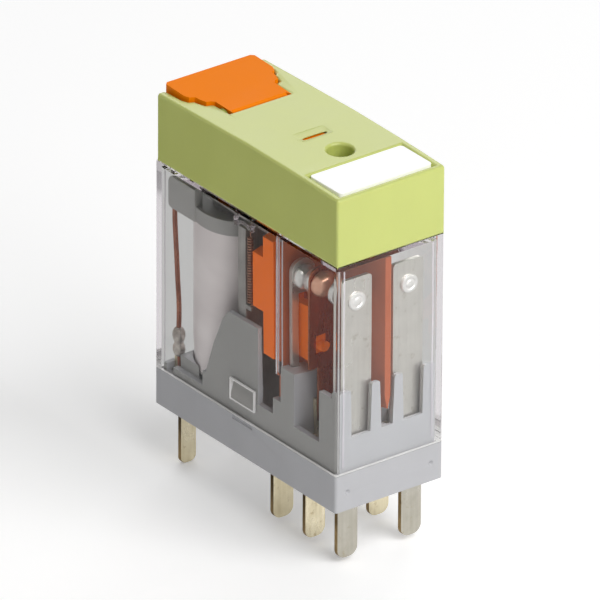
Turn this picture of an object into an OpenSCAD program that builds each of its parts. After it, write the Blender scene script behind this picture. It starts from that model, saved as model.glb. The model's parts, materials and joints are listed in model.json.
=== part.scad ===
// Two-pole plug-in relay: a clear case over a grey base, a lime cap with a test lever,
// and inside them a coil, an armature with its card, and two changeover contact sets.
// Origin: centre of the base's underside. +X towards the contact end, +Z up to the cap.

/* [Housing] */
// Length of the housing
body_l = 28.2; // [28:0.1:29]
// Width of the housing
body_w = 12.6; // [12.4:0.1:13]
// Height of the base flange under the clear case
flange_h = 3.8; // [3.6:0.05:3.9]
// Height of the clear case's top face
case_top = 25.7; // [25.6:0.1:26]
// Height of the cap's slightly domed top face at its middle
cap_top = 33.1; // [32.9:0.1:33.4]
// Radius of the housing's upright corners
corner_r = 0.3; // [0.3:0.05:0.6]
// Wall of the clear case
case_t = 0.6; // [0.5:0.05:0.7]
// Side wall of the cap
cap_t = 0.9; // [0.8:0.05:1]

/* [Pins] */
// How far the contact pins stand out below the base
pin_len = 5.9; // [5:0.1:7]
// How far the coil pins stand out below the base
coil_pin_len = 6.4; // [5:0.1:7]
// Thickness of every pin
pin_t = 0.5; // [0.4:0.05:0.6]
// Distance between the two rows of pins
row_pitch = 7.5; // [7.5:0.1:7.5]
// Distance from one contact pin to the next along a row
pin_pitch = 5; // [5:0.1:5]
// Place of the outermost (normally open) contact pins along X
no_pin_x = 12.34; // [12.3:0.01:12.4]
// Place of the coil pins along X
coil_pin_x = -12.66; // [-12.7:0.01:-12.6]
// Width of a contact pin
contact_pin_w = 2.35; // [2:0.05:2.4]
// Width of a coil pin
coil_pin_w = 1.8; // [1.6:0.05:2]

/* [Contacts] */
// Height of the contacts above the seating plane
contact_z = 21.1; // [20.8:0.1:21.3]
// Distance from the middle plane to each pole's contacts
pole_y = 3.05; // [2.9:0.05:3.1]
// Gap between the moving contact and the normally open one at rest
contact_gap = 0.95; // [0.8:0.05:1]

/* [Coil] */
// Place of the coil's upright axis along X
coil_x = -7.6; // [-7.7:0.1:-7.5]
// Outer radius of the taped coil
coil_r = 4.95; // [4.8:0.05:4.95]
// Lower edge of the tape
tape_z0 = 5.3; // [5.2:0.1:6]
// Upper edge of the tape
tape_z1 = 21; // [20.5:0.1:21]

/* [Test lever] */
// Place of the lever's hinge along X
lever_x = -7.2; // [-7.3:0.1:-7.1]
// Height of the lever's hinge
lever_z = 32.2; // [32.1:0.1:32.3]
// Travel of the plunger under the lever
plunger_travel = 0.3; // [0.2:0.05:0.3]

/* [Hidden] */
$fn = 48;
// smallest overlap that makes a cut or a union certain
cut = 0.1;
// clearance of a pin in the base and of a shank in its hole
fit = 0.01;
// half sizes of the housing
half_l = body_l / 2;
half_w = body_w / 2;
// the base and the case reach a little further back than the cap
lower_l = body_l + 0.2;
lower_x = -0.15;
// drop of the cap's top face from its middle to its two ends
crown = 0.3;
// outer faces of the base's upstand inside the case
up_x = half_l - case_t - 0.1;
up_y = half_w - case_t - 0.1;
wall_y = 5;
low_wall_z = 6.2;
front_x = 12.9;
slot_floor_z = 7.3;
tooth_z = 12.3;
// distance from the middle plane to each row of pins
row_y = row_pitch / 2;
com_pin_x = no_pin_x - pin_pitch;
nc_pin_x = no_pin_x - 2 * pin_pitch;
// latch windows in the case's long sides
window_x = [-2.6, 1.2];
window_z = [5.3, 7.5];
// normally open and normally closed blades
no_x = [no_pin_x - pin_t / 2, no_pin_x + pin_t / 2];
nc_x = [5.05, 5.5];
nc_stem_y = [3.75, 4.6];
nc_head_y = [1.8, 4.6];
head_r = 1.3;
shank_r = 0.6;
nc_face_x = 6.5;
// moving spring and its contact
spring_x = [7.7, 7.9];
spring_foot_z = 6.6;
spring_y = [1.6, 4.4];
spring_neck_y = [1.5, 3.3];
spring_top_z = 22.9;
moving_face_x = [nc_face_x + 0.02, 9.2];
no_face_x = moving_face_x[1] + contact_gap;
// insulating barrier
wall_x = [4.05, 4.5];
barrier_y = [-0.25, 0.45];
barrier_top_z = 24.9;
// lower end of the winding, on the bobbin's lower flange
winding_z0 = 9.6;
// magnet parts
yoke_x = [-2.35, -1.15];
yoke_top_z = 23.35;
arm_z = [yoke_top_z + 0.07, yoke_top_z + 1.07];
leg_x = [0.9, 1.75];
pole_z = 23.03;
core_r = 2;
// card on the armature's leg
card_x = [1.8, 3.4];
card_z = [11.65, 23.9];
nose_y = [2.3, 3.46];
nose_z = [12.6, 18.3];
nib_z = 14.5;
// diode beside the coil, upright between the coil lead and its terminal
diode_x = -12.15;
diode_z = [5.6, 8.4];
lead_y = 4.65;
// flag that shows in the cap's slot
flag_x = [1.5, 2.15];
slot_x = [1.1, 2.46];
slot_y = 1.5;
// light under the cap's hole
light_x = 6;
light_y = 0.1;
light_hole_r = 1.27;
board_z = case_top + 0.1;
// hinge and cam of the test lever
lever_plate_z = [32.35, 33.4];
hinge_pin_r = 0.5;
hinge_bore_r = 0.55;
cam_r = 1.45;
plunger_r = 0.9;
// lever outline from its grip to its tip, one half, and the recess round it
lever_half = [[-14.4, 4.9], [-14.1, 5.2], [-11.3, 5.2], [-10.75, 5], [-10.45, 4.5],
    [-9.75, 4.4], [-9.1, 4.2], [-9, 3.75], [-8.7, 3.45], [-6, 3.42], [-5.5, 3]];
recess_half = [[-14.6, 5.34], [-11.27, 5.34], [-10.66, 5.12], [-10.36, 4.63],
    [-9.7, 4.53], [-9, 4.33], [-8.88, 3.86], [-8.62, 3.58], [-7, 3.55]];

lime = [0.84, 0.87, 0.6];
grey = [0.6, 0.6, 0.62];
orange = [0.94, 0.5, 0.12];
terracotta = [0.72, 0.38, 0.28];
nickel = [0.78, 0.76, 0.7];
steel = [0.55, 0.55, 0.56];
copper = [0.75, 0.45, 0.33];
silver = [0.9, 0.9, 0.9];

// a block between two corners
module box(x, y, z) {
    translate([x[0], y[0], z[0]]) cube([x[1] - x[0], y[1] - y[0], z[1] - z[0]]);
}

// a rectangle with round corners, centred
module round_rect(l, w, r) {
    square([l - 2 * r, w], center = true);
    square([l, w - 2 * r], center = true);
    for (sx = [-1, 1], sy = [-1, 1])
        translate([sx * (l / 2 - r), sy * (w / 2 - r)]) circle(r);
}

// an upright blade in the YZ plane whose two upper corners are round
module blade(x, y, z, r) {
    box(x, y, [z[0], z[1] - r]);
    box(x, [y[0] + r, y[1] - r], [z[0], z[1]]);
    for (yc = [y[0] + r, y[1] - r])
        translate([x[0], yc, z[1] - r]) rotate([0, 90, 0]) cylinder(r = r, h = x[1] - x[0]);
}

// an extrusion along Y of an outline drawn in X and Z
module along_y(y) {
    translate([0, y[1], 0]) rotate([90, 0, 0]) linear_extrude(y[1] - y[0]) children();
}

// an extrusion along X of an outline drawn in Y and Z
module along_x(x) {
    translate([x[0], 0, 0]) rotate([90, 0, 90]) linear_extrude(x[1] - x[0]) children();
}

// pole 1 lies on the -Y side, pole 2 is its mirror image
module pole(side) {
    if (side < 0) mirror([0, 1, 0]) children();
    else children();
}

// a pin with a round tip, hanging from the height top_z
module pin(x, w, top_z, len = pin_len) {
    y = [row_y - w / 2, row_y + w / 2];
    r = w / 2 - 0.25;
    translate([0, 0, top_z]) mirror([0, 0, 1])
        blade([x - pin_t / 2, x + pin_t / 2], y, [0, top_z + len], r);
}

// the opening that a pin passes through in the base
module pin_slot(x, w) {
    box([x - pin_t / 2 - fit, x + pin_t / 2 + fit],
        [row_y - w / 2 - fit, row_y + w / 2 + fit], [-cut, flange_h + cut]);
}

module front_tooth(y0, y1, top0, top1) {
    along_x([front_x, up_x]) polygon([[y0, slot_floor_z - cut], [y1, slot_floor_z - cut],
        [top1, tooth_z - 0.15], [top1 - 0.15, tooth_z], [top0 + 0.15, tooth_z],
        [top0, tooth_z - 0.15]]);
}

// the base's parts that repeat on both sides
module base_side() {
    box([-7.3, up_x], [wall_y, up_y], [flange_h - cut, low_wall_z]);
    box([-11.9, -7.3], [wall_y, up_y], [flange_h - cut, 4.6]);
    along_y([wall_y, up_y]) polygon([[-7.3, flange_h - cut], [-7.1, 5.4], [-5.5, 9.9],
        [-4.1, 13], [-3.2, 14.1], [1.45, 14.2], [1.45, flange_h - cut]]);
    box([4.95, 7.05], [2.6, up_y], [flange_h - cut, 11.7]);
    box([10.93, up_x], [wall_y, up_y], [flange_h - cut, 11.6]);
    front_tooth(4.15, up_y, 4.25, up_y);
    front_tooth(0.65, 1.95, 0.85, 1.8);
    along_x([-2.5, 1.1]) polygon([[up_y - cut, 5.4], [half_w - 0.12, 5.4],
        [half_w - 0.12, 5.8], [up_y + 0.15, 7.4], [up_y - cut, 7.4]]);
}

module base() {
    color(grey) difference() {
        union() {
            translate([lower_x, 0, 0]) linear_extrude(flange_h)
                round_rect(lower_l, body_w, corner_r);
            for (side = [-1, 1]) pole(side) base_side();
            difference() {
                box([-11.5, -7.3], [-wall_y, wall_y], [flange_h - cut, 5.9]);
                translate([coil_x, 0, flange_h]) cylinder(r = coil_r + 0.15, h = 6);
            }
            box([-up_x, -front_x], [-up_y, up_y], [flange_h - cut, 4.6]);
            box([front_x, up_x], [-up_y, up_y], [flange_h - cut, slot_floor_z]);
            box([3.75, 4.95 + cut], [-up_y, up_y], [5.1, 7.9]);
            box([4.95, front_x], [-0.5, 0.5], [flange_h - cut, 7.2]);
            for (side = [-1, 1]) pole(side)
                box([4.6, 4.9], [0.6, 2.5], [7.8, 10.2]);
        }
        for (side = [-1, 1]) pole(side) {
            for (x = [no_pin_x, com_pin_x, nc_pin_x]) pin_slot(x, contact_pin_w);
            pin_slot(coil_pin_x, coil_pin_w);
            box([-13.2, -12.1], [2.5, 5.1], [2.2, flange_h + cut]);
            box([4.9, nc_x[1] + 0.1], [nc_stem_y[0] - 0.08, nc_stem_y[1] + 0.08], [4.1, 12]);
            box([-2.2, 1], [half_w - 0.15, half_w + cut], [3.35, flange_h + cut]);
            translate([lower_x + lower_l / 2 + cut, 4.9, 1.9]) rotate([0, -90, 0])
                cylinder(r1 = 0.4, r2 = 0.05, h = 0.35);
        }
        box([no_pin_x - pin_t / 2 - fit, front_x + cut], [-4.9, 4.9], [4.15, 5]);
    }
}

module case() {
    inner_l = lower_l - 2 * case_t;
    inner_w = body_w - 2 * case_t;
    color([0.9, 0.93, 0.95, 0.3]) difference() {
        union() {
            difference() {
                translate([lower_x, 0, flange_h]) linear_extrude(case_top - flange_h)
                    round_rect(lower_l, body_w, corner_r);
                translate([lower_x, 0, flange_h - cut])
                    linear_extrude(case_top - case_t - flange_h + cut)
                        round_rect(inner_l, inner_w, 0.25);
            }
            for (side = [-1, 1]) pole(side) {
                box([4.3, 4.85], [5.25, half_w - case_t + 0.05], [10.7, case_top - case_t + 0.05]);
                for (x = [-3.5, 7]) {
                    box([x - 1.5, x + 1.5], [4.4, 5.2], [case_top - 0.05, case_top + 2.5]);
                    along_x([x - 1.5, x + 1.5]) polygon([[5.15, case_top + 1.5],
                        [5.5, case_top + 1.5], [5.5, case_top + 1.8], [5.15, case_top + 2.5]]);
                }
            }
        }
        for (side = [-1, 1]) pole(side) {
            box(window_x, [up_y - cut, half_w + cut], window_z);
            translate([-13, 3.9, case_top - 1]) cylinder(r = 0.3, h = 1.5);
        }
        translate([lever_x, 0, case_top - 1]) cylinder(r = plunger_r + 0.05, h = 1.5);
        box([0.1, 2.7], [-2.1, 2.1], [case_top - 1, case_top + cut]);
    }
}

module cap() {
    inside_top = cap_top - 1.4;
    recess_z = lever_plate_z[0] - 0.1;
    crown_r = half_l * half_l / (2 * crown);
    color(lime) difference() {
        union() {
            difference() {
                intersection() {
                    translate([0, 0, case_top]) linear_extrude(cap_top - case_top + 1)
                        round_rect(body_l, body_w, corner_r);
                    translate([0, 0, cap_top - crown_r]) rotate([90, 0, 0])
                        cylinder(r = crown_r, h = body_w + 2, center = true, $fn = 1440);
                }
                translate([0, 0, case_top - cut]) linear_extrude(inside_top - case_top + cut)
                    round_rect(body_l - 2 * cap_t, body_w - 2 * cap_t, 0.4);
            }
            translate([light_x, light_y, 29.4]) cylinder(r = 2, h = inside_top - 29.4 + cut);
        }
        // recess that the lever lies in, stepped like the lever
        translate([0, 0, recess_z]) linear_extrude(2) two_sided(recess_half);
        box([-8.75, -5.15], [-3.55, 3.55], [inside_top - cut, cap_top + cut]);
        translate([lever_x, 0, lever_z]) rotate([90, 0, 0])
            cylinder(r = hinge_bore_r, h = 2 * 4.15, center = true);
        // hole for the light, slot for the flag, seat for the label
        translate([light_x, light_y, 29]) cylinder(r = light_hole_r, h = 5);
        box(slot_x, [-slot_y, slot_y], [inside_top - cut, cap_top + cut]);
        box([8.4, 13.4], [-5.5, 5.5], [cap_top - 0.6, cap_top + cut]);
        // grooves for the case's snap pegs
        for (side = [-1, 1], x = [-3.5, 7]) pole(side)
            box([x - 1.6, x + 1.6], [5.2, 5.6], [case_top + 1.4, case_top + 2.6]);
    }
}

module label_plate() {
    color("white") translate([10.9, 0, cap_top - 0.6]) linear_extrude(0.47)
        round_rect(4.8, 10.8, 0.4);
}

// an outline closed by its own mirror image across the middle plane
module two_sided(half) {
    polygon(concat(half, [for (i = [len(half) - 1:-1:0]) [half[i][0], -half[i][1]]]));
}

// cam whose radius grows over a quarter turn, from straight down to +X
module cam_outline() {
    steps = 9;
    polygon(concat([[0, 0.3], [-0.6, 0]],
        [for (i = [0:steps]) let (a = -90 + 90 * i / steps, r = cam_r + plunger_travel * i / steps)
            [r * cos(a), r * sin(a)]], [[1.2, 0.3]]));
}

module test_lever() {
    edge = 0.2;
    tip_x = lever_half[len(lever_half) - 1][0];
    color(orange) union() {
        difference() {
            translate([0, 0, lever_plate_z[0]])
                linear_extrude(lever_plate_z[1] - lever_plate_z[0]) two_sided(lever_half);
            along_y([-4, 4]) polygon([[tip_x + cut, lever_plate_z[1] - edge - cut],
                [tip_x + cut, lever_plate_z[1] + cut], [tip_x - edge - cut, lever_plate_z[1] + cut]]);
        }
        translate([lever_x, 0, lever_z]) rotate([90, 0, 0])
            cylinder(r = 0.8, h = 2 * 3.3, center = true);
        translate([lever_x, 0, lever_z]) rotate([90, 0, 0])
            cylinder(r = hinge_pin_r, h = 2 * 4, center = true);
        translate([lever_x, 0, lever_z]) along_y([-1.2, 1.2]) cam_outline();
    }
}

module test_plunger() {
    foot_z = arm_z[1] + plunger_travel + 0.05;
    head_z = lever_z - cam_r - 0.05;
    color(orange) translate([lever_x, 0, 0]) {
        translate([0, 0, foot_z]) cylinder(r = plunger_r, h = head_z - foot_z);
        translate([0, 0, case_top + 0.6]) cylinder(r = 1.5, h = 0.8);
    }
}

module bobbin() {
    flange_r = 5.2;
    color([0.45, 0.45, 0.45]) difference() {
        union() {
            translate([coil_x, 0, 5]) cylinder(r = coil_r - 0.21, h = winding_z0 - 5.01);
            translate([coil_x, 0, 5]) cylinder(r = coil_r, h = tape_z0 - 5.01);
            translate([coil_x, 0, 5]) cylinder(r = 2.8, h = 16.5);
            translate([coil_x, 0, tape_z1]) cylinder(r = flange_r, h = 1);
            difference() {
                translate([coil_x, 0, tape_z1]) cylinder(r = flange_r, h = 1.6);
                translate([coil_x, 0, tape_z1 + 1]) cylinder(r = flange_r - 0.5, h = 1);
            }
            // ears at the coil end
            box([-13.3, -9], [-5.2, 5.2], [tape_z1, tape_z1 + 1]);
            for (side = [-1, 1]) pole(side)
                box([-13.3, -9], [3.95, 5.2], [tape_z1, 24.4]);
        }
        translate([coil_x, 0, 4]) cylinder(r = core_r + fit, h = 20);
        translate([coil_x, 0, tape_z1 + 1.01]) cylinder(r = 2.7 + fit, h = 3);
        box([yoke_x[0] - 0.02, 0], [-6, 6], [4, 24]);
        for (side = [-1, 1]) pole(side)
            translate([-12.95, 4.55, tape_z1 - cut]) cylinder(r = 0.3, h = 5);
    }
}

module coil_winding() {
    color(copper) translate([coil_x, 0, winding_z0]) difference() {
        cylinder(r = coil_r - 0.2, h = tape_z1 - winding_z0 - 0.05);
        translate([0, 0, -cut]) cylinder(r = 2.8 + fit, h = 20);
    }
}

module coil_tape() {
    color([0.75, 0.72, 0.73]) translate([coil_x, 0, tape_z0]) difference() {
        cylinder(r = coil_r, h = tape_z1 - tape_z0 - 0.05);
        translate([0, 0, -cut]) cylinder(r = coil_r - 0.2 + fit, h = 20);
    }
}

module core() {
    color(steel) translate([coil_x, 0, 0]) {
        translate([0, 0, 4.3]) cylinder(r = 1.4, h = 1);
        translate([0, 0, 5.02]) cylinder(r = core_r, h = pole_z - 6);
        translate([0, 0, tape_z1 + 1.03]) cylinder(r = 2.7, h = pole_z - tape_z1 - 1.03);
    }
}

module yoke() {
    color([0.4, 0.4, 0.41]) difference() {
        union() {
            box(yoke_x, [-4.9, 4.9], [flange_h, yoke_top_z]);
            box([-11, yoke_x[1]], [-3.4, 3.4], [flange_h, 4.98]);
            // lug for the return spring
            box([yoke_x[1] - cut, -0.35], [-4.9, -4.4], [15, 15.5]);
        }
        translate([coil_x, 0, 3]) cylinder(r = 1.4 + fit, h = 5);
    }
}

module armature() {
    color(steel) {
        box([-10.8, leg_x[1]], [-3.7, 3.7], arm_z);
        box(leg_x, [-3.4, 3.4], [16.5, arm_z[1]]);
        box([-0.95, -0.15], [-4.95, -3.6], [arm_z[0], arm_z[0] + 0.6]);
    }
}

module card() {
    color(orange) {
        // front plate, with its two side plates round the armature's leg
        box(card_x, [-5.15, 5.15], [16, card_z[1]]);
        for (side = [-1, 1]) pole(side) {
            box([0.2, card_x[1]], [3.45, 5.15], [16, 21.7]);
            box(card_x, [nose_y[0] - 0.3, 5.15], [card_z[0], 16 + cut]);
            box([card_x[1] - cut, spring_x[0] - 0.05], nose_y, nose_z);
            translate([spring_x[0] - 0.2, (nose_y[0] + nose_y[1]) / 2, nib_z]) rotate([0, 90, 0])
                cylinder(r = 0.5, h = 0.9);
        }
    }
}

module indicator_flag() {
    color(orange) {
        box([0.2, flag_x[1]], [-1.8, 1.8], [arm_z[1], arm_z[1] + 0.35]);
        box(flag_x, [-1.4, 1.4], [arm_z[1] + 0.3, cap_top - 0.12]);
    }
}

module return_spring() {
    y = -4.72;
    color(copper) {
        translate([-0.55, y, 15.6]) cylinder(r = 0.42, h = 7.2);
        translate([-0.55, y, 15.5]) cylinder(r = 0.12, h = arm_z[0] - 15.5);
    }
}

module barrier() {
    y = barrier_y;
    edge_x = front_x + 0.42;
    color(terracotta) difference() {
        union() {
            box([wall_x[0], edge_x], y, [10.6, barrier_top_z]);
            along_x([wall_x[0], edge_x]) polygon([[y[0], 10.7], [y[1], 10.7], [y[1], 10.4],
                [0.15, 9], [0.05, 9], [y[0], 10.4]]);
            box([5.1, 12], y, [7.4, 10.7]);
            box(wall_x, [-5.1, 5.1], [8, barrier_top_z]);
        }
        for (side = [-1, 1]) pole(side)
            box([wall_x[0] - cut, wall_x[1] + cut], [1.9, 3.85], [12.1, 19.2]);
    }
}

module no_terminal(side) {
    blade_y = [1.25, 4.75];
    color(nickel) pole(side) difference() {
        union() {
            pin(no_pin_x, contact_pin_w, 4.2);
            blade(no_x, blade_y, [4.2, 23.5], 0.4);
        }
        translate([10, pole_y, contact_z]) rotate([0, 90, 0]) cylinder(r = shank_r, h = 5);
    }
}

module nc_terminal(side) {
    head_r_y = (nc_head_y[1] - nc_head_y[0]) / 2;
    color(nickel) pole(side) difference() {
        union() {
            pin(nc_pin_x, contact_pin_w, 4.3);
            box([nc_pin_x - pin_t / 2, 3.7], [2.6, 4.9], [4.2, 4.8]);
            box([3.6, nc_x[1]], nc_stem_y, [4.2, 4.8]);
            box(nc_x, nc_stem_y, [4.2, 20]);
            blade(nc_x, nc_head_y, [19.4, 22.9], head_r_y - 0.02);
        }
        translate([0, pole_y + 0.1, contact_z]) rotate([0, 90, 0]) cylinder(r = shank_r, h = 10);
    }
}

module com_terminal(side) {
    color(nickel) pole(side) {
        pin(com_pin_x, contact_pin_w, 5);
        box([com_pin_x - pin_t / 2, com_pin_x + pin_t / 2], [1.5, 4.9], [4.2, 5]);
        box([com_pin_x - pin_t / 2, com_pin_x + pin_t / 2], spring_neck_y, [4.9, 8.8]);
    }
}

module coil_terminal(side) {
    color(nickel) pole(side) {
        pin(coil_pin_x, coil_pin_w, 2.3, coil_pin_len);
        box([coil_pin_x - pin_t / 2, coil_pin_x + pin_t / 2], [4.1, 4.65], [2.2, 5.2]);
    }
}

// a domed contact head standing on the plane x0 and facing +X, or -X when mirrored
module contact_head(r, h) {
    dome = 0.25;
    rotate([0, 90, 0]) {
        cylinder(r = r, h = h - dome);
        translate([0, 0, h - dome]) cylinder(r1 = r, r2 = r - 0.45, h = dome);
    }
}

module no_contact(side) {
    neck = 0.95;
    head_h = no_x[0] - neck - no_face_x;
    color(silver) pole(side) translate([0, pole_y, contact_z]) {
        translate([no_x[0] - neck, 0, 0]) mirror([1, 0, 0]) contact_head(head_r, head_h);
        translate([no_x[0] - neck - 0.01, 0, 0]) rotate([0, 90, 0])
            cylinder(r = 0.85, h = neck + 0.005);
        translate([no_x[0] - cut, 0, 0]) rotate([0, 90, 0])
            cylinder(r = shank_r - fit, h = no_x[1] - no_x[0] + 2 * cut);
        translate([no_x[1] + 0.005, 0, 0]) contact_head(0.95, 0.3);
    }
}

module nc_contact(side) {
    color(silver) pole(side) translate([0, pole_y + 0.1, contact_z]) {
        translate([nc_x[1] + 0.005, 0, 0]) contact_head(head_r, nc_face_x - nc_x[1] - 0.005);
        translate([nc_x[0] - cut, 0, 0]) rotate([0, 90, 0])
            cylinder(r = shank_r - fit, h = nc_x[1] - nc_x[0] + 2 * cut);
        translate([nc_x[0] - 0.005, 0, 0]) mirror([1, 0, 0]) contact_head(0.8, 0.3);
    }
}

// a leaf that stands on its terminal's tab and bends just above its foot
module moving_spring(side) {
    mid_y = (spring_y[0] + spring_y[1]) / 2;
    color(copper) pole(side) difference() {
        union() {
            box(spring_x, spring_neck_y, [spring_foot_z, 12.4]);
            blade(spring_x, spring_y, [12.3, spring_top_z], mid_y - spring_y[0] - 0.02);
        }
        translate([5, pole_y - 0.05, contact_z]) rotate([0, 90, 0]) cylinder(r = shank_r, h = 5);
        box([7, 8.5], [2.2, 3.56], [nib_z - 0.75, nib_z + 1.15]);
    }
}

module moving_contact(side) {
    color(silver) pole(side) translate([0, pole_y - 0.05, contact_z]) {
        translate([spring_x[0] - 0.005, 0, 0]) mirror([1, 0, 0])
            contact_head(head_r, spring_x[0] - 0.005 - moving_face_x[0]);
        translate([spring_x[0] - cut, 0, 0]) rotate([0, 90, 0])
            cylinder(r = shank_r - fit, h = spring_x[1] - spring_x[0] + 2 * cut);
        translate([spring_x[1] + 0.005, 0, 0])
            contact_head(head_r, moving_face_x[1] - spring_x[1] - 0.005);
    }
}

// a straight round wire from one point to another
module wire(a, b, r) {
    d = b - a;
    translate(a) rotate([0, acos(d[2] / norm(d)), atan2(d[1], d[0])]) cylinder(r = r, h = norm(d));
}

module coil_lead(side) {
    joint = [-12.95, 4.55, 20.6];
    foot = side < 0 ? [diode_x, lead_y, diode_z[1] + 0.02] : [-12.15, 4.5, 4.4];
    color(copper) pole(side) {
        translate([joint[0], joint[1], 20.2]) cylinder(r = 0.25, h = 3);
        wire(joint, foot, 0.2);
    }
}

// the diode's lower lead runs down beside the coil terminal
module protection_diode() {
    r = 0.65;
    color([0.6, 0.6, 0.6]) translate([diode_x, -lead_y, 0]) {
        translate([0, 0, diode_z[0] + 0.5]) cylinder(r = r, h = 1.7);
        translate([0, 0, diode_z[0]]) cylinder(r1 = 0.35, r2 = r, h = 0.5);
        translate([0, 0, diode_z[1] - 0.6]) cylinder(r1 = r, r2 = 0.35, h = 0.6);
        translate([0, 0, 4.4]) cylinder(r = 0.2, h = diode_z[0] - 4.3);
    }
}

module led_board() {
    color([0.2, 0.45, 0.3]) box([2.9, 9.6], [-4, 4], [board_z, board_z + 0.8]);
}

module indicator_led() {
    color([0.75, 0.9, 0.75]) translate([light_x, light_y, board_z + 0.8]) {
        cylinder(r = 1.65, h = 0.6);
        cylinder(r = 1.45, h = 1.7);
        translate([0, 0, 1.7]) sphere(r = 1.45);
    }
}

module led_resistor() {
    color([0.75, 0.65, 0.5]) translate([8.6, 0, board_z + 0.8 + 0.75]) rotate([90, 0, 0])
        cylinder(r = 0.75, h = 3.4, center = true);
}

module led_wire(side) {
    z = board_z + 0.4;
    color("silver") pole(side) {
        translate([-13, 3.9, z]) rotate([0, 90, 0]) cylinder(r = 0.2, h = 15.88);
        translate([-13, 3.9, 24.6]) cylinder(r = 0.25, h = z + 0.3 - 24.6);
    }
}

base();
case();
cap();
label_plate();
test_lever();
test_plunger();
bobbin();
coil_winding();
coil_tape();
core();
yoke();
armature();
card();
indicator_flag();
return_spring();
barrier();
no_terminal(-1);  // no_terminal_1
no_terminal(1);  // no_terminal_2
nc_terminal(-1);  // nc_terminal_1
nc_terminal(1);  // nc_terminal_2
com_terminal(-1);  // com_terminal_1
com_terminal(1);  // com_terminal_2
coil_terminal(-1);  // coil_terminal_1
coil_terminal(1);  // coil_terminal_2
no_contact(-1);  // no_contact_1
no_contact(1);  // no_contact_2
nc_contact(-1);  // nc_contact_1
nc_contact(1);  // nc_contact_2
moving_spring(-1);  // moving_spring_1
moving_spring(1);  // moving_spring_2
moving_contact(-1);  // moving_contact_1
moving_contact(1);  // moving_contact_2
coil_lead(-1);  // coil_lead_1
coil_lead(1);  // coil_lead_2
protection_diode();
led_board();
indicator_led();
led_resistor();
led_wire(-1);  // led_wire_1
led_wire(1);  // led_wire_2
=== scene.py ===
import json
import math

import bmesh
import bpy
from mathutils import Matrix, Vector


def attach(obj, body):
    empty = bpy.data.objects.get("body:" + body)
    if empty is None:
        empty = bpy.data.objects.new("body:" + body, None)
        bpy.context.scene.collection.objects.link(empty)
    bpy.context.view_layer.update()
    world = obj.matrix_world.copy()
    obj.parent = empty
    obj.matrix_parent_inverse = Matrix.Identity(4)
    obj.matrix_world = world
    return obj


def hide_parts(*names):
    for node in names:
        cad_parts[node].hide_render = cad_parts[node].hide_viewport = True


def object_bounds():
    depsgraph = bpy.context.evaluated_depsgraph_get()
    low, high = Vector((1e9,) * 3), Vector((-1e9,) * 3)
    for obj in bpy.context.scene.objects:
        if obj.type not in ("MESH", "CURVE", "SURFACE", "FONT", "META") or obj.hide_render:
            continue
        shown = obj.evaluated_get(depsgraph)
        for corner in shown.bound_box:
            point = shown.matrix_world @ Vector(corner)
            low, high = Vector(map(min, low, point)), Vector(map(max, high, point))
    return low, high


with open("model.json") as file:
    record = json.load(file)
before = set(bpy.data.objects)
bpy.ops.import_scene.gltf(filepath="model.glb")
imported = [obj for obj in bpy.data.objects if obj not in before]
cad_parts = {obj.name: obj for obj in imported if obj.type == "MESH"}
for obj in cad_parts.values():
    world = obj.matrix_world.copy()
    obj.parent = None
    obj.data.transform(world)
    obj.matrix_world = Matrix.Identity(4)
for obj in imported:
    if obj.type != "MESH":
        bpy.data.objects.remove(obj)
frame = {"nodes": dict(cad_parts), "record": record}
cad_low, cad_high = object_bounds()
scene = bpy.context.scene
coll = scene.collection

MM = 0.001

# places in the part's own millimetres: X along the long side, Y across, Z up
FLANGE = 3.8  # top of the base's flange, where the case stands
CAP_TOP = 33.1  # crown of the cap
CONTACT_Z = 21.1  # axis of all contacts
STUD = 0.59  # radius of the contacts' rivet studs
PIN_TOP = 1.0  # below this the blades are pins
HOLE_X, HOLE_Y = -12.95, 4.55  # holes for the coil leads in the bobbin's ears
DIODE_X, DIODE_Y = -12.15, -4.65
SIDES = ((1, -1), (2, 1))  # number of each of a pair, and its side along Y


# ---------------------------------------------------------------- materials

def srgb(r, g, b):
    """Linear colour from 0-255 values as the eye reads them."""
    def lin(c):
        c /= 255
        return c / 12.92 if c <= 0.04045 else ((c + 0.055) / 1.055) ** 2.4
    return (lin(r), lin(g), lin(b), 1.0)


def scaled(colour, k):
    """A colour k times as bright."""
    return (*(min(1, c * k) for c in colour[:3]), 1.0)


class Graph:
    """A node tree, with short names for what repeats."""

    def __init__(self, tree):
        self.tree = tree

    def feed(self, socket, value):
        """Sets a socket to a plain value, or links it to another node's output."""
        if isinstance(value, (float, int, tuple)):
            socket.default_value = value
        else:
            self.tree.links.new(value, socket)

    def node(self, kind, **values):
        n = self.tree.nodes.new(kind)
        for name, value in values.items():
            if name in n.inputs:
                self.feed(n.inputs[name], value)
            else:
                setattr(n, name, value)
        return n

    def calc(self, operation, *values):
        n = self.node("ShaderNodeMath", operation=operation)
        for socket, value in zip(n.inputs, values):
            self.feed(socket, value)
        return n.outputs[0]


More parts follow.
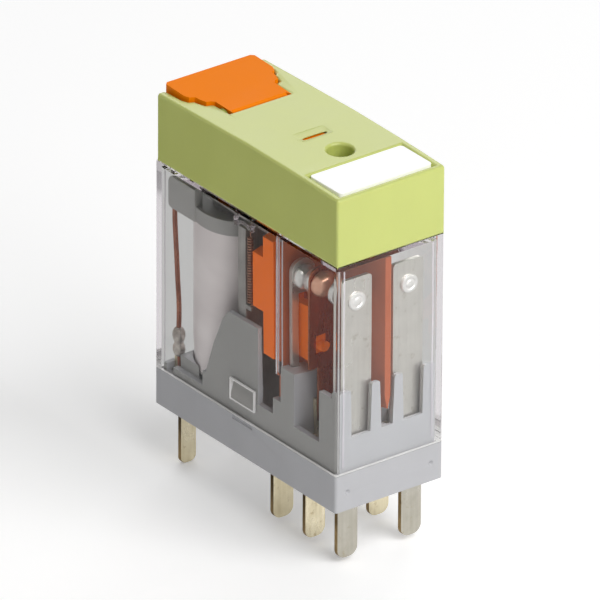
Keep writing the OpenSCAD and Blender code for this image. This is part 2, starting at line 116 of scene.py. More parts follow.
class Tree(Graph):
    """A material with one Principled shader."""

    def __init__(self, name):
        self.mat = bpy.data.materials.new(name)
        self.mat.use_nodes = True
        super().__init__(self.mat.node_tree)
        self.bsdf = self.tree.nodes["Principled BSDF"]
        self.co = self.node("ShaderNodeTexCoord").outputs["Object"]

    def noise(self, scale, detail=3.0, rough=0.55, stretch=None):
        where = self.co
        if stretch:
            where = self.node("ShaderNodeMapping", Vector=self.co, Scale=stretch).outputs["Vector"]
        n = self.node("ShaderNodeTexNoise", Vector=where, Scale=scale, Detail=detail, Roughness=rough)
        return n.outputs["Fac"]

    def ramp(self, fac, *stops):
        """Turns a value into a colour, or a grey, by stops of (position, colour)."""
        n = self.node("ShaderNodeValToRGB", Fac=fac)
        elements = n.color_ramp.elements
        while len(elements) < len(stops):
            elements.new(0.5)
        for element, (position, colour) in zip(elements, stops):
            element.position = position
            element.color = colour if isinstance(colour, tuple) else (colour, colour, colour, 1)
        return n.outputs["Color"]

    def mix(self, fac, a, b):
        n = self.node("ShaderNodeMix", data_type="RGBA")
        # the colour sockets of this node come after its other kinds
        for socket, value in ((n.inputs[0], fac), (n.inputs[6], a), (n.inputs[7], b)):
            self.feed(socket, value)
        return n.outputs[2]

    def remap(self, fac, low, high):
        """Spreads the middle of a noise's range over low to high."""
        n = self.node("ShaderNodeMapRange", Value=fac,
                      **{"From Min": 0.3, "From Max": 0.7, "To Min": low, "To Max": high})
        return n.outputs["Result"]

    def add(self, a, b, ka, kb):
        """The sum of a and b, with their weights."""
        return self.calc("MULTIPLY_ADD", b, kb, self.calc("MULTIPLY", a, ka))

    def bump(self, height, distance_mm, strength=1.0):
        n = self.node("ShaderNodeBump", Height=height, Strength=strength, Distance=distance_mm * MM)
        self.put("Normal", n.outputs["Normal"])

    def put(self, name, value):
        self.feed(self.bsdf.inputs[name], value)

    def glow(self, colour, strength):
        self.put("Emission Color", colour)
        self.put("Emission Strength", strength)

    def blend(self, share, other):
        """Mixes another shader into the surface, by a number or another node's output."""
        n = self.node("ShaderNodeMixShader", Fac=share)
        self.feed(n.inputs[1], self.bsdf.outputs[0])
        self.feed(n.inputs[2], other.outputs[0])
        self.feed(self.tree.nodes["Material Output"].inputs["Surface"], n.outputs[0])


WHITE = (1, 1, 1, 1)
LIME = (0.535, 0.588, 0.156, 1)
ORANGE = srgb(254, 134, 0)
ROLLED = (1, 1, 0.05)  # stretch of the rolling marks along an upright strip


def plastic(name, colour, rough, vary, grain, sss=0.0, coat=0.0, spec=0.5, glow=0.0, tint=WHITE):
    """Moulded plastic: faint flow marks in the colour, spark-eroded grain in gloss and relief, and painted
    light as a glow where one is given.
    """
    t = Tree(name)
    flow = t.noise(160, 4, 0.6, (1, 1, 0.45))
    t.put("Base Color", t.ramp(flow, (0.25, scaled(colour, 1 - vary)), (0.75, scaled(colour, 1 + vary))))
    fine = t.noise(5200, 2, 0.5)
    t.put("Roughness", t.remap(t.add(flow, fine, 0.5, 0.5), rough - 0.06, rough + 0.07))
    t.bump(t.add(fine, flow, 0.6, 0.8), grain)
    t.put("Specular IOR Level", spec)
    if sss:
        t.put("Subsurface Weight", sss)
        t.put("Subsurface Scale", 0.6 * MM)
        t.put("Subsurface Radius", (1.0, 0.8, 0.4))
    if coat:
        t.put("Coat Weight", coat)
        t.put("Coat Roughness", 0.12)
    # painted light: the plastic glows, brighter than the lamps alone light it
    if glow:
        t.glow(tint, glow)
    return t.mat


def metal(name, colour, dark, rough, brushed=(1, 1, 1), stain=None, bump=0.01, metallic=1.0):
    """Plated or rolled metal: rolling marks, cloudy plating and a few darker stains."""
    t = Tree(name)
    cloud = t.noise(420, 5, 0.6)
    lines = t.noise(2600, 3, 0.5, brushed)
    tone = t.add(cloud, lines, 0.6, 0.4)
    base = t.ramp(tone, (0.3, dark), (0.62, colour))
    if stain:
        spot = t.ramp(t.noise(900, 4, 0.7), (0.6, 0.0), (0.72, 0.65))
        base = t.mix(spot, base, stain)
    t.put("Base Color", base)
    t.put("Metallic", metallic)
    t.put("Roughness", t.remap(tone, rough + 0.12, rough - 0.06))
    t.bump(t.add(lines, cloud, 0.5, 0.5), bump)
    return t.mat


def clear_plastic():
    """The case: shadow and diffuse rays, and rays caught in a wall for long, pass straight through; the
    caught ones come out greyed, as painted shade.
    """
    t = Tree("clear_plastic")
    t.put("Base Color", (0.985, 0.987, 0.98, 1))
    t.put("Transmission Weight", 1.0)
    t.put("IOR", 1.49)
    t.put("Roughness", 0.0)
    t.bump(t.noise(150, 3, 0.5, (1, 1, 0.6)), 0.02, 0.25)
    light = t.node("ShaderNodeLightPath").outputs
    caught = t.calc("GREATER_THAN", light["Ray Depth"], 4.5)
    straight = t.calc("MAXIMUM", t.calc("MAXIMUM", light["Is Shadow Ray"], light["Is Diffuse Ray"]), caught)
    # painted shade: rays caught in a wall for long pass out greyed, darkening the case's edges
    tint = t.mix(caught, (0.98, 0.985, 0.99, 1), (0.74, 0.71, 0.73, 1))
    t.blend(straight, t.node("ShaderNodeBsdfTransparent", Color=tint))
    return t.mat


def painted_glint_sheet(name, dark, pale, rough, see_through, cloud, glow=0.0):
    """Painted highlight on faces and cut edges of the clear moulding that catch the light: a pale sheet,
    partly see-through, which may glow.
    """
    t = Tree(name)
    t.put("Base Color", t.ramp(t.noise(*cloud), (0.3, dark), (0.7, pale)))
    t.put("Roughness", rough)
    if glow:
        t.glow(WHITE, glow)
    t.blend(see_through, t.node("ShaderNodeBsdfTransparent"))
    return t.mat


def tape():
    """Pale film wrapped round the coil, uneven from layer to layer."""
    t = Tree("coil_tape_film")
    wrap = t.noise(90, 3, 0.5, (1, 1, 2.2))
    t.put("Base Color", t.ramp(wrap, (0.3, srgb(216, 205, 204)), (0.7, srgb(244, 235, 233))))
    t.put("Roughness", t.remap(t.noise(300, 3), 0.3, 0.42))
    t.put("Coat Weight", 0.25)
    t.put("Coat Roughness", 0.2)
    t.bump(wrap, 0.12, 0.5)
    return t.mat


MATERIAL = {
    "lime": plastic("lime_plastic", LIME, 0.36, 0.03, 0.006, sss=0.15, coat=0.14, spec=0.62),
    "grey": plastic("grey_plastic", srgb(181, 181, 184), 0.45, 0.04, 0.012),
    # painted shade: a darker grey for the base's long inner walls
    "shade_painted_grey": plastic("grey_plastic_painted_shade", srgb(160, 158, 155), 0.5, 0.04, 0.012),
    "dark_grey": plastic("dark_grey_plastic", srgb(164, 161, 158), 0.45, 0.05, 0.012),
    "orange": plastic("orange_plastic", ORANGE, 0.5, 0.03, 0.006, spec=0.06),
    # the glow of these three is painted light, which brightens them as light scattered inside thin plastic
    # would
    "white": plastic("label_white", srgb(253, 253, 252), 0.5, 0.01, 0.004, glow=0.1),
    "card": plastic("card_plastic", srgb(250, 112, 4), 0.42, 0.05, 0.006, spec=0.2, glow=0.07, tint=ORANGE),
    "barrier": plastic("barrier_plastic", srgb(174, 87, 48), 0.36, 0.1, 0.01, spec=0.2,
                       glow=0.06, tint=srgb(202, 98, 56)),

    # strips: tinned terminals, pins and their cut edges, iron and copper springs
    "tin": metal("tinned", srgb(230, 227, 220), srgb(214, 211, 204), 0.3, ROLLED, srgb(176, 168, 150),
                 metallic=0.8),
    "pin": metal("tinned_pin", srgb(240, 230, 200), srgb(210, 197, 162), 0.27, ROLLED, srgb(170, 146, 96),
                 metallic=0.8),
    "pale_pin": metal("pale_pin", srgb(190, 186, 175), srgb(168, 163, 149), 0.3, ROLLED, srgb(160, 148, 120),
                      metallic=0.8),
    "edge": metal("sheared_edge", srgb(150, 126, 84), srgb(92, 74, 46), 0.36, (1, 1, 0.1), srgb(70, 54, 34)),
    "steel": metal("soft_iron", srgb(178, 174, 170), srgb(142, 138, 134), 0.34, (1, 1, 0.06),
                   srgb(100, 92, 86), metallic=0.5),
    "copper": metal("spring_copper", srgb(196, 124, 92), srgb(150, 84, 58), 0.24, ROLLED,
                    srgb(116, 66, 48), bump=0.006),
    # contacts
    "silver": metal("contact_silver", srgb(250, 249, 246), srgb(226, 224, 220), 0.18,
                    bump=0.004, metallic=0.7),
    "rose": metal("copper_contact", srgb(250, 196, 168), srgb(228, 160, 132), 0.2, bump=0.004, metallic=0.7),
    "tail": metal("rivet_tail", srgb(252, 250, 247), srgb(232, 230, 226), 0.36, bump=0.006, metallic=0.6),
    # wires, and the bead of the diode, which mirrors most of what it shows
    "wire": metal("enamelled_wire", srgb(176, 112, 88), srgb(132, 74, 56), 0.28, (1, 1, 0.3), bump=0.006),
    "bronze": metal("bronze_wire", srgb(196, 150, 126), srgb(150, 104, 84), 0.28, bump=0.004),
    "glass": metal("glass_bead", srgb(250, 244, 236), srgb(84, 62, 48), 0.1, (0.6, 0.6, 0.25),
                   srgb(176, 120, 70), bump=0.12, metallic=0.85),

    "clear": clear_plastic(),
    # painted highlights on the clear case: pale sheets on its rib faces, inner corners and cut edges
    "rib": painted_glint_sheet("rib_painted_glint", srgb(214, 206, 214), srgb(240, 236, 242), 0.3, 0.35, (300, 2, 0.5, (1, 1, 0.2))),
    "rim": painted_glint_sheet("rim_painted_glint", srgb(226, 224, 222), srgb(246, 245, 244), 0.25, 0.2, (400, 2), glow=0.08),
    "tape": tape(),
}


# ---------------------------------------------------------------- shapes

BODY = {n: b for b, ns in frame["record"]["behaviour"]["bodies"].items() for n in ns}
SHARP = math.radians(35)


def new_object(name, bm, material, smooth=40):
    """A piece from a mesh, shaded smooth where its faces meet at less than smooth degrees."""
    me = bpy.data.meshes.new(name)
    bmesh.ops.recalc_face_normals(bm, faces=bm.faces)
    bm.to_mesh(me)
    bm.free()
    ob = bpy.data.objects.new(name, me)
    coll.objects.link(ob)
    me.materials.append(material)
    me.shade_smooth()
    me.set_sharp_from_angle(angle=math.radians(smooth))
    return ob


def stands_for(ob, *nodes):
    """A piece that takes the place of CAD nodes."""
    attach(ob, BODY[nodes[0]])
    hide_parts(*nodes)
    return ob


def extra(ob, node):
    """A detail that has no CAD node of its own moves with this one."""
    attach(ob, BODY[node])
    return ob


def two_tone(ob, material, chosen):
    """Gives the faces that chosen(centre in mm) picks a second material."""
    ob.data.materials.append(material)
    for f in ob.data.polygons:
        if chosen(f.center / MM):
            f.material_index = 1
    return ob


def split(bm, at, normal):
    bmesh.ops.bisect_plane(bm, geom=bm.verts[:] + bm.edges[:] + bm.faces[:], plane_co=at, plane_no=normal)


def join_flat_faces(bm):
    bmesh.ops.dissolve_limit(bm, angle_limit=math.radians(1.2), verts=bm.verts, edges=bm.edges)


def soften_bobbin(bm):
    """Closes the lead holes in the bobbin's ears and rounds the ears' free end."""
    end, top, hole_radius = -13.3, 24.4, 0.3
    for side in (-1, 1):
        axis = MM * Vector((HOLE_X, side * HOLE_Y, 0))
        rings = {}
        for v in bm.verts:
            if math.hypot(v.co.x - axis.x, v.co.y - axis.y) < (hole_radius + 0.02) * MM:
                rings.setdefault(round(v.co.z / MM, 1), []).append(v)
        for ring in rings.values():
            bmesh.ops.pointmerge(bm, verts=ring, merge_co=Vector((axis.x, axis.y, ring[0].co.z)))
    bmesh.ops.delete(bm, geom=[e for e in bm.edges if not e.link_faces], context="EDGES")
    join_flat_faces(bm)

    foot = min(v.co.z for v in bm.verts if v.co.x < (end + 0.1) * MM) / MM
    top_radius, foot_radius = 0.8, 0.45
    for radius, steps in ((top_radius, 6), (foot_radius, 4)):
        for i in range(1, steps + 1):
            x = end + radius * (1 - math.cos(math.pi / 2 * i / steps))
            split(bm, (x * MM, 0, 0), (1, 0, 0))
    for v in bm.verts:
        for radius, level, way in ((top_radius, top, -1), (foot_radius, foot, 1)):
            u = (end + radius - v.co.x / MM) / radius
            if u > 0 and abs(v.co.z / MM - level) < 0.01:
                v.co.z += way * radius * MM * (1 - math.sqrt(max(0, 1 - min(u, 1) ** 2)))
                break


def tilt_lever(bm):
    """The lever's plate slopes from its hinge to its tongue, which ends level with the cap and shorter."""
    hinge, length, drop = -14.2, 9.1, 0.33
    tongue, shorter = -5.8, 0.85
    for v in bm.verts:
        if v.co.z > CAP_TOP * MM:
            v.co.z -= drop * MM * max(0, min(1, (v.co.x / MM - hinge) / length))
        if v.co.x > tongue * MM and v.co.z > 32 * MM:
            v.co.x -= shorter * MM


def lower_flag(bm):
    """The flag's tip stops below the dished lip of its slot."""
    for v in bm.verts:
        if v.co.z > (CAP_TOP - 0.2) * MM:
            v.co.z -= 0.23 * MM


def lift_case(bm):
    """The case's foot stands a hair above the flange, so light passes between them."""
    for v in bm.verts:
        if v.co.z < (FLANGE + 0.01) * MM:
            v.co.z = (FLANGE + 0.03) * MM


SHAPING = {"case": lift_case, "bobbin": soften_bobbin, "test_lever": tilt_lever, "indicator_flag": lower_flag}


def weigh_showing_edges(me, sharp):
    """Marks the cap's sharp edges that show, for its bevel."""
    side, end, top = 6.25, 14.05, 32.6
    weight = me.attributes.new("bevel_weight_edge", "FLOAT", "EDGE")
    for e in me.edges:
        a, b = (me.vertices[i].co for i in e.vertices)
        mid = (a + b) / (2 * MM)
        shows = abs(mid.y) > side or abs(mid.x) > end or mid.z > top
        weight.data[e.index].value = 1.0 if shows and sharp[e.index] else 0.0


def rounded(node, material, width_mm):
    """A copy of a CAD node with its sharp edges rounded."""
    bm = bmesh.new()
    bm.from_mesh(frame["nodes"][node].data)
    bmesh.ops.remove_doubles(bm, verts=bm.verts, dist=0.002 * MM)
    if node in SHAPING:
        SHAPING[node](bm)
    join_flat_faces(bm)
    bm.edges.index_update()
    sharp = [e.is_manifold and e.calc_face_angle(0) > SHARP for e in bm.edges]
    ob = new_object(node + "_moulded", bm, material)
    if width_mm:
        mod = ob.modifiers.new("round", "BEVEL")
        mod.width = width_mm * MM
        mod.segments = 2
        mod.limit_method = "ANGLE"
        mod.angle_limit = SHARP
        mod.harden_normals = True
        if node == "cap":
            # only the edges that show are rounded, and they may be rounded fully
            mod.use_clamp_overlap = False
            mod.limit_method = "WEIGHT"
            weigh_showing_edges(ob.data, sharp)
    return stands_for(ob, node)


def rectangle(x0, x1, y0, y1, inset=0.0):
    """The corners of a rectangle, drawn in by the inset on every side."""
    x0, x1, y0, y1 = x0 + inset, x1 - inset, y0 + inset, y1 - inset
    return [(x0, y0), (x1, y0), (x1, y1), (x0, y1)]


def circle(bm, centre, radius, u, v, count):
    """Vertices round a centre in mm, in the plane of u and v."""
    turn = [2 * math.pi * k / count for k in range(count)]
    return [bm.verts.new(MM * (centre + radius * (math.cos(a) * u + math.sin(a) * v))) for a in turn]


def band(bm, a, b):
    """Faces between two rings of vertices, either of which may be one point."""
    for k in range(max(len(a), len(b))):
        ring = (a[k % len(a)], a[(k + 1) % len(a)], b[(k + 1) % len(b)], b[k % len(b)])
        bm.faces.new(tuple(dict.fromkeys(ring)))


def strip(bm):
    """Vertices of a unit square, 24 faces long, to be bent to shape."""
    return bmesh.ops.create_grid(bm, x_segments=1, y_segments=24, size=0.5)["verts"]


def sleeve(bm, inner, outer, depth):
    """A closed frame between two outlines in mm, as deep as the vector says."""
    loops = [[bm.verts.new(MM * (Vector(p) + d * Vector(depth))) for p in pts]
             for pts, d in ((inner, 0), (outer, 0), (outer, 1), (inner, 1))]
    for a, b in zip(loops, loops[1:] + loops[:1]):
        band(bm, a, b)


def lathe(bm, profile, origin, axis="Z", segments=40):
    """A turned shape: (radius, height) pairs in mm, swept round an axis through origin."""
    u, v, w = (Vector(c) for c in {"Z": ((1, 0, 0), (0, 1, 0), (0, 0, 1)),
                                   "X": ((0, 1, 0), (0, 0, 1), (1, 0, 0))}[axis])
    rings = [circle(bm, Vector(origin) + w * h, r, u, v, segments if r else 1) for r, h in profile]
    for a, b in zip(rings, rings[1:]):
        band(bm, a, b)
    for ring in (rings[0], rings[-1]):
        if len(ring) > 1:
            bm.faces.new(ring)


def dome(radius, start, height, crown):
    """Profile of a contact head: a short cylinder under a rounded crown; height may be negative."""
    steps = 7
    s = math.copysign(1, height)
    flat = [(radius * 0.96, start), (radius, start + s * 0.06), (radius, start + height - s * crown)]
    round_part = [(radius * math.cos(a), start + height - s * crown * (1 - math.sin(a)))
                  for a in (math.pi / 2 * i / steps for i in range(1, steps))]
    return flat + round_part + [(0, start + height)]


def tube(bm, points, radii, sides=10):
    """A round wire along points in mm."""
    pts = [Vector(p) for p in points]
    if isinstance(radii, (int, float)):
        radii = [radii] * len(pts)
    normal, rings = None, []
    for i, (p, r) in enumerate(zip(pts, radii)):
        d = (pts[min(i + 1, len(pts) - 1)] - pts[max(i - 1, 0)]).normalized()
        normal = d.orthogonal() if normal is None else normal - d * normal.dot(d)
        normal.normalize()
        rings.append(circle(bm, p, r, normal, d.cross(normal), sides))
    for a, b in zip(rings, rings[1:]):
        band(bm, a, b)
    bm.faces.new(rings[0])
    bm.faces.new(rings[-1])


def curved(points):
    """A smooth path through points."""
    steps = 6
    pts = [Vector(p) for p in points]
    pts = [2 * pts[0] - pts[1]] + pts + [2 * pts[-1] - pts[-2]]
    path = []
    for a, b, c, d in zip(pts, pts[1:], pts[2:], pts[3:]):
        slope, bend, twist = c - a, 2 * a - 5 * b + 4 * c - d, 3 * b - a - 3 * c + d
        for t in (i / steps for i in range(steps)):
            path.append(0.5 * (2 * b + slope * t + bend * t ** 2 + twist * t ** 3))
    return path + [pts[-2]]


# ---------------------------------------------------------------- pieces

# material and width of the rounded edges, in mm, of the nodes that keep their CAD shape
LOOK = {
    "base": ("grey", 0.14), "cap": ("lime", 0.3), "label_plate": ("white", 0.06),
    "test_lever": ("orange", 0.2), "test_plunger": ("orange", 0.08), "bobbin": ("dark_grey", 0.3),
    "coil_tape": ("tape", 0.0), "coil_winding": ("wire", 0.0), "core": ("steel", 0.08),
    "yoke": ("steel", 0.08), "armature": ("steel", 0.08), "card": ("card", 0.16),
    "indicator_flag": ("orange", 0.05), "barrier": ("barrier", 0.05), "case": ("clear", 0.12),
    "led_board": ("grey", 0.03),
    "indicator_led": ("lime", 0.0), "led_resistor": ("tape", 0.08),
}
PAIRS = {
    "no_terminal": ("tin", 0.06), "nc_terminal": ("tin", 0.06), "com_terminal": ("pin", 0.06),
    "coil_terminal": ("pin", 0.06), "moving_spring": ("copper", 0.03), "led_wire": ("tin", 0.0),
}
LOOK.update({f"{kind}_{n}": finish for n, side in SIDES for kind, finish in PAIRS.items()})


def mark_pin(ob, face):
    """Below the base a blade is a pin: one tone on its faces, with sheared edges."""
    ob.data.materials.append(face)
    ob.data.materials.append(MATERIAL["edge"])
    bm = bmesh.new()
    bm.from_mesh(ob.data)
    split(bm, (0, 0, PIN_TOP * MM), (0, 0, 1))
    bm.to_mesh(ob.data)
    bm.free()
    for f in ob.data.polygons:
        if f.center.z < PIN_TOP * MM:
            f.material_index = 1 if abs(f.normal.x) > 0.7 else 2


for node, (finish, width) in LOOK.items():
    ob = rounded(node, MATERIAL[finish], width)
    if "_terminal_" in node:
        mark_pin(ob, MATERIAL["pale_pin" if node.startswith("no_") else "pin"])

# painted shade: the base's long inner walls, facing across it, get a darker grey than its flange
base = bpy.data.objects["base_moulded"]
base.data.materials.append(MATERIAL["shade_painted_grey"])
for f in base.data.polygons:
    if abs(f.normal.y) > 0.6 and f.center.z > (FLANGE + 0.05) * MM:
        f.material_index = 1


def rivet(node, y, material, *profiles):
    """A contact along X, turned from profiles of (radius, x)."""
    bm = bmesh.new()
    for profile in profiles:
        lathe(bm, profile, (0, y, CONTACT_Z), "X")
    return new_object(node + "_rivet", bm, material, 30)


def no_contact(n, side):
    """Fixed contact in the outer blade: its tail is spun over, with a dimple, and shows outside."""
    tail = [(0.94, 12.6), (0.95, 12.72), (0.88, 12.82), (0.74, 12.86), (0.6, 12.84), (0.52, 12.78),
            (0.44, 12.79), (0.34, 12.85), (0.18, 12.885), (0, 12.89)]
    stud, collar = [(STUD, 11.2), (STUD, 12.65)], [(0.84, 12.08), (0.84, 11.14)]
    ob = rivet(f"no_contact_{n}", side * 3.05, MATERIAL["silver"],
               tail, stud, collar, dome(1.3, 11.15, -1.0, 0.45))
    stands_for(two_tone(ob, MATERIAL["tail"], lambda c: c.x > 12.59), f"no_contact_{n}")


def nc_contact(n, side):
    """Fixed contact in the inner blade."""
    stud = [(STUD, 5.6), (STUD, 4.95)]
    ob = rivet(f"nc_contact_{n}", side * 3.15, MATERIAL["silver"],
               dome(1.3, 5.51, 0.99, 0.8), stud, dome(0.8, 5.04, -0.29, 0.25))
    stands_for(ob, f"nc_contact_{n}")


def moving_contact(n, side):
    """Contact of the leaf spring: copper, with silver on the head that meets the inner contact."""
    stud = [(STUD, 7.5), (STUD, 8.1)]
    ob = rivet(f"moving_contact_{n}", side * 3.0, MATERIAL["rose"],
               dome(1.3, 7.69, -1.17, 0.4), stud, dome(1.3, 7.91, 1.29, 1.0))
    stands_for(two_tone(ob, MATERIAL["silver"], lambda c: c.x < 7.7), f"moving_contact_{n}")


def coil_lead(n, side):
    """Wire soldered in the bobbin's ear and drawn down beside the coil, to the diode or to its pin."""
    low = (-12.18, side * 4.65, 8.42) if side < 0 else (-12.15, side * 4.5, 4.45)
    route = [(HOLE_X, side * HOLE_Y, 23.2), (HOLE_X, side * 4.56, 21.2), (-12.82, side * 4.66, 19.4),
             (-12.5, side * 4.72, 16.4), (-12.3, side * 4.7, 13.4), (-12.17, side * 4.65, 11.2),
             (-12.14, side * 4.65, 9.6), low]
    bm = bmesh.new()
    tube(bm, curved(route), 0.27)
    stands_for(new_object(f"coil_lead_{n}_wire", bm, MATERIAL["wire"], 60), f"coil_lead_{n}")


def case_tabs(n, side):
    """Moulded tabs inside the case's top edge: two upright drops and the web that joins them."""
    def wavy(points, radius, swell, pace, sides):
        path = curved(points)
        tube(bm, path, [radius + swell * math.sin(pace * i) for i in range(len(path))], sides)

    bm = bmesh.new()
    for x, foot in ((-2.3, 23.5), (0.25, 23.75)):
        wavy([(x - 0.1, side * 5.3, 25.05), (x + 0.15, side * 5.32, 24.6), (x - 0.12, side * 5.28, 24.1),
              (x + 0.05, side * 5.3, foot)], 0.26, 0.07, 1.9, 14)
    wavy([(-2.1, side * 5.3, 23.9), (-1.2, side * 5.32, 24.15), (-0.6, side * 5.28, 24.0),
          (0.1, side * 5.3, 24.2)], 0.13, 0.04, 2.3, 12)
    extra(new_object(f"case_tabs_{n}", bm, MATERIAL["clear"], 60), "case")


def case_rib_face(n, side):
    """Painted highlight on an inner rib of the case: a pale strip where its face reflects the light."""
    x, width, middle, height = 4.575, 0.42, 17.9, 14.1
    bm = bmesh.new()
    for v in strip(bm):
        y = side * (5.225 + 0.01 * math.sin(9 * v.co.y))
        v.co = MM * Vector((x + width * v.co.x, y, middle + height * v.co.y))
    extra(new_object(f"case_rib_face_{n}", bm, MATERIAL["rib"], 60), "case")


def case_window_rim(n, side):
    """Light at the cut edge of a latch window."""
    inner_face, wall = 5.76, 0.51
    outlines = [[(x, side * inner_face, z) for x, z in rectangle(-2.6, 1.2, 5.3, 7.5, inset)]
                for inset in (0.09, -0.02)]
    bm = bmesh.new()
    sleeve(bm, *outlines, (0, side * wall, 0))
    extra(new_object(f"case_window_rim_{n}", bm, MATERIAL["rim"]), "case")


def case_foot_rim():
    """Light at the cut edge of the case's foot."""
    wall, height = 0.52, 0.04
    outlines = [[(x, y, FLANGE + 0.05) for x, y in rectangle(-14.3, 14.0, -6.26, 6.26, inset)]
                for inset in (wall, 0)]
    bm = bmesh.new()
    sleeve(bm, *outlines, (0, 0, height))
    extra(new_object("case_foot_rim", bm, MATERIAL["rim"]), "case")


def case_corner_glint(n, x):
    """Glint of the case's inner corners on a short side."""
    width, middle, height = 0.17, 14.7, 20.6
    bm = bmesh.new()
    for side in (-1, 1):
        for v in strip(bm):
            y = side * (5.2 + width * v.co.x + 0.02 * math.sin(11 * v.co.y))
            v.co = MM * Vector((x, y, middle + height * v.co.y))
    extra(new_object(f"case_corner_glint_{n}", bm, MATERIAL["rib"], 60), "case")


def cap_slot_lip():
    """Dished lip of the flag's slot in the cap, between a rounded outline on top and the slit below."""
    count, dish_depth, thickness = 40, 0.12, 0.07
    dish, slit = [], []
    for a in (2 * math.pi * (i + 0.5) / count for i in range(count)):
        c, d = (math.copysign(abs(value) ** 0.5, value) for value in (math.cos(a), math.sin(a)))
        dish.append((1.78 + 1.12 * c, 2.0 * d, CAP_TOP - 0.001))
        slit.append((2.2 + 0.24 * c, 1.42 * d, CAP_TOP - dish_depth))
    bm = bmesh.new()
    sleeve(bm, slit, dish, (0, 0, -thickness))
    extra(new_object("cap_slot_lip", bm, MATERIAL["lime"], 60), "cap")


def cap_sill():
    """Sill that closes the cap's opening up to the lever's tongue."""
    foot, top = 32.95, 33.066
    bm = bmesh.new()
    low, high = ([bm.verts.new(MM * Vector((x, y, z))) for x, y in rectangle(-5.93, -4.8, -3.86, 3.86)]
                 for z in (foot, top))
    bm.faces.new(low)
    bm.faces.new(high)
    band(bm, low, high)
    extra(new_object("cap_sill", bm, MATERIAL["lime"]), "cap")


def return_spring():
    """A close-wound helix with straight ends."""
    x, y, radius, turns, per_turn = -0.55, -4.72, 0.33, 25, 12
    foot, height = 15.75, 6.95
    helix = []
    for i in range(turns * per_turn + 1):
        a = 2 * math.pi * i / per_turn
        z = foot + height * i / (turns * per_turn)
        helix.append((x + radius * math.cos(a), y + radius * math.sin(a), z))
    bm = bmesh.new()
    tube(bm, [(x, y, 15.5), (x + 0.1, y, 15.62)] + helix + [(x + 0.05, y, 22.85), (x, y, 23.4)], 0.09, 6)
    stands_for(new_object("return_spring_helix", bm, MATERIAL["bronze"], 80), "return_spring")


def diode():
    """Glass diode: two swellings with a waist between its leads, the lower one of bare wire."""
    bead = [(0.36, 5.5), (0.55, 5.72), (0.67, 6.12), (0.64, 6.5), (0.5, 6.84), (0.48, 6.98), (0.62, 7.2),
            (0.71, 7.6), (0.68, 8.0), (0.5, 8.34), (0.3, 8.5)]
    bm = bmesh.new()
    lathe(bm, [(0.21, 4.42), (0.2, 5.42)] + bead + [(0.2, 8.52)], (DIODE_X, DIODE_Y, 0), "Z", 28)
    ob = new_object("protection_diode_bead", bm, MATERIAL["glass"], 60)
    stands_for(two_tone(ob, MATERIAL["wire"], lambda c: c.z < 5.45), "protection_diode")


for n, side in SIDES:
    no_contact(n, side)
    nc_contact(n, side)
    moving_contact(n, side)
    coil_lead(n, side)
    case_tabs(n, side)
    case_rib_face(n, side)
for n, side in SIDES:
    case_window_rim(n, side)
case_foot_rim()
for n, x in ((1, 13.5), (2, -13.8)):
    case_corner_glint(n, x)
cap_slot_lip()
cap_sill()
return_spring()
diode()


# ---------------------------------------------------------------- stage

floor_z = cad_low.z
bm = bmesh.new()
bmesh.ops.create_grid(bm, x_segments=2, y_segments=2, size=3)
floor_mat = Tree("pale_floor")
floor_mat.put("Base Color", floor_mat.ramp(floor_mat.noise(6, 3), (0.3, 0.93), (0.7, 0.95)))
floor_mat.put("Roughness", 0.7)
floor_mat.put("Specular IOR Level", 0.2)
floor_mat.glow(WHITE, 0.22)
# painted shade: what the clear case shows of the backdrop is a flat darker grey
through = floor_mat.node("ShaderNodeLightPath").outputs["Is Transmission Ray"]
floor_mat.blend(through, floor_mat.node("ShaderNodeEmission", Color=(0.57, 0.57, 0.57, 1)))
floor = new_object("floor", bm, floor_mat.mat)
floor.location.z = floor_z - 0.02 * MM

# the sky is dim for matt surfaces, and bright for what metal and clear plastic mirror
world = bpy.data.worlds.new("studio")
scene.world = world
world.use_nodes = True
sky = Graph(world.node_tree)
background = sky.tree.nodes["Background"].inputs
ray = sky.node("ShaderNodeLightPath").outputs
mirrored = sky.calc("MAXIMUM", ray["Is Glossy Ray"], ray["Is Transmission Ray"])
sky.feed(background["Color"], WHITE)
sky.feed(background["Strength"], sky.calc("MULTIPLY_ADD", mirrored, 0.45, 0.225))

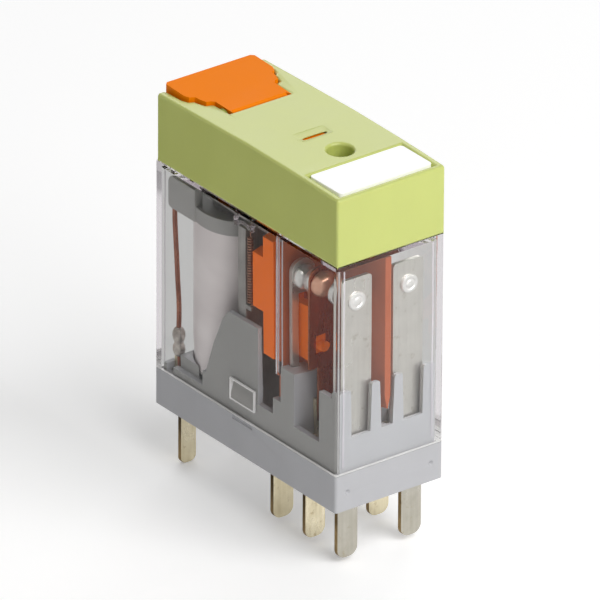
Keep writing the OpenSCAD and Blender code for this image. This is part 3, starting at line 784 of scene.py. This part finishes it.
# black card that only reflections see, so the long side isn't veiled by the pale floor
CARD_X, CARD_Y = -57, -64
CARD_LENGTH, CARD_WIDTH = 126, 112
bm = bmesh.new()
bmesh.ops.create_grid(bm, x_segments=2, y_segments=2, size=0.5)
for v in bm.verts:
    v.co = MM * Vector((CARD_X + CARD_LENGTH * v.co.x, CARD_Y + CARD_WIDTH * v.co.y, 0))
card_mat = Tree("black_card")
card_mat.put("Base Color", card_mat.ramp(card_mat.noise(20), (0.3, 0.004), (0.7, 0.008)))
card_mat.put("Roughness", 1.0)
card_mat.put("Specular IOR Level", 0.0)
# light that has been round inside the clear case passes it by
late = card_mat.calc("GREATER_THAN", card_mat.node("ShaderNodeLightPath").outputs["Ray Depth"], 3.5)
card_mat.blend(late, card_mat.node("ShaderNodeBsdfTransparent"))
card = new_object("black_card", bm, card_mat.mat)
card.location.z = floor_z + 0.2 * MM
card.visible_camera = card.visible_diffuse = card.visible_transmission = card.visible_shadow = False

AIM = Vector((0, 0, 0.016))


def direction(azimuth, elevation):
    """Unit vector from the part, by degrees: azimuth 0 is on the -Y side, 90 on the +X side."""
    a, e = math.radians(azimuth), math.radians(elevation)
    return Vector((math.sin(a) * math.cos(e), -math.cos(a) * math.cos(e), math.sin(e)))


def softbox(name, azimuth, elevation, distance, size, watts):
    data = bpy.data.lights.new(name, "AREA")
    data.shape = "RECTANGLE"
    data.size, data.size_y = size
    data.energy = watts
    ob = bpy.data.objects.new(name, data)
    coll.objects.link(ob)
    ob.location = AIM + distance * direction(azimuth, elevation)
    ob.rotation_euler = (AIM - ob.location).to_track_quat("-Z", "Y").to_euler()


softbox("key", 98, 44, 0.6, (0.5, 0.5), 3.2)
softbox("back", -127, 32, 0.6, (0.5, 0.35), 0.9)

DISTANCE = 1.5
ROLL = math.radians(0.292)
SHIFT_RIGHT, SHIFT_UP = 0.027 * MM, -1.0345 * MM
cam_data = bpy.data.cameras.new("camera")
cam_data.sensor_width = 36
cam_data.lens = 957.65
cam = bpy.data.objects.new("camera", cam_data)
coll.objects.link(cam)
scene.camera = cam
back = direction(52.914, 27.083)
side = (-back).cross(Vector((0, 0, 1))).normalized()
up = side.cross(-back)
right = math.cos(ROLL) * side + math.sin(ROLL) * up
above = -math.sin(ROLL) * side + math.cos(ROLL) * up
where = AIM + DISTANCE * back + SHIFT_RIGHT * right + SHIFT_UP * above
cam.matrix_world = Matrix.Translation(where) @ Matrix((right, above, back)).transposed().to_4x4()

scene.view_settings.view_transform = "Standard"
scene.view_settings.look = "None"
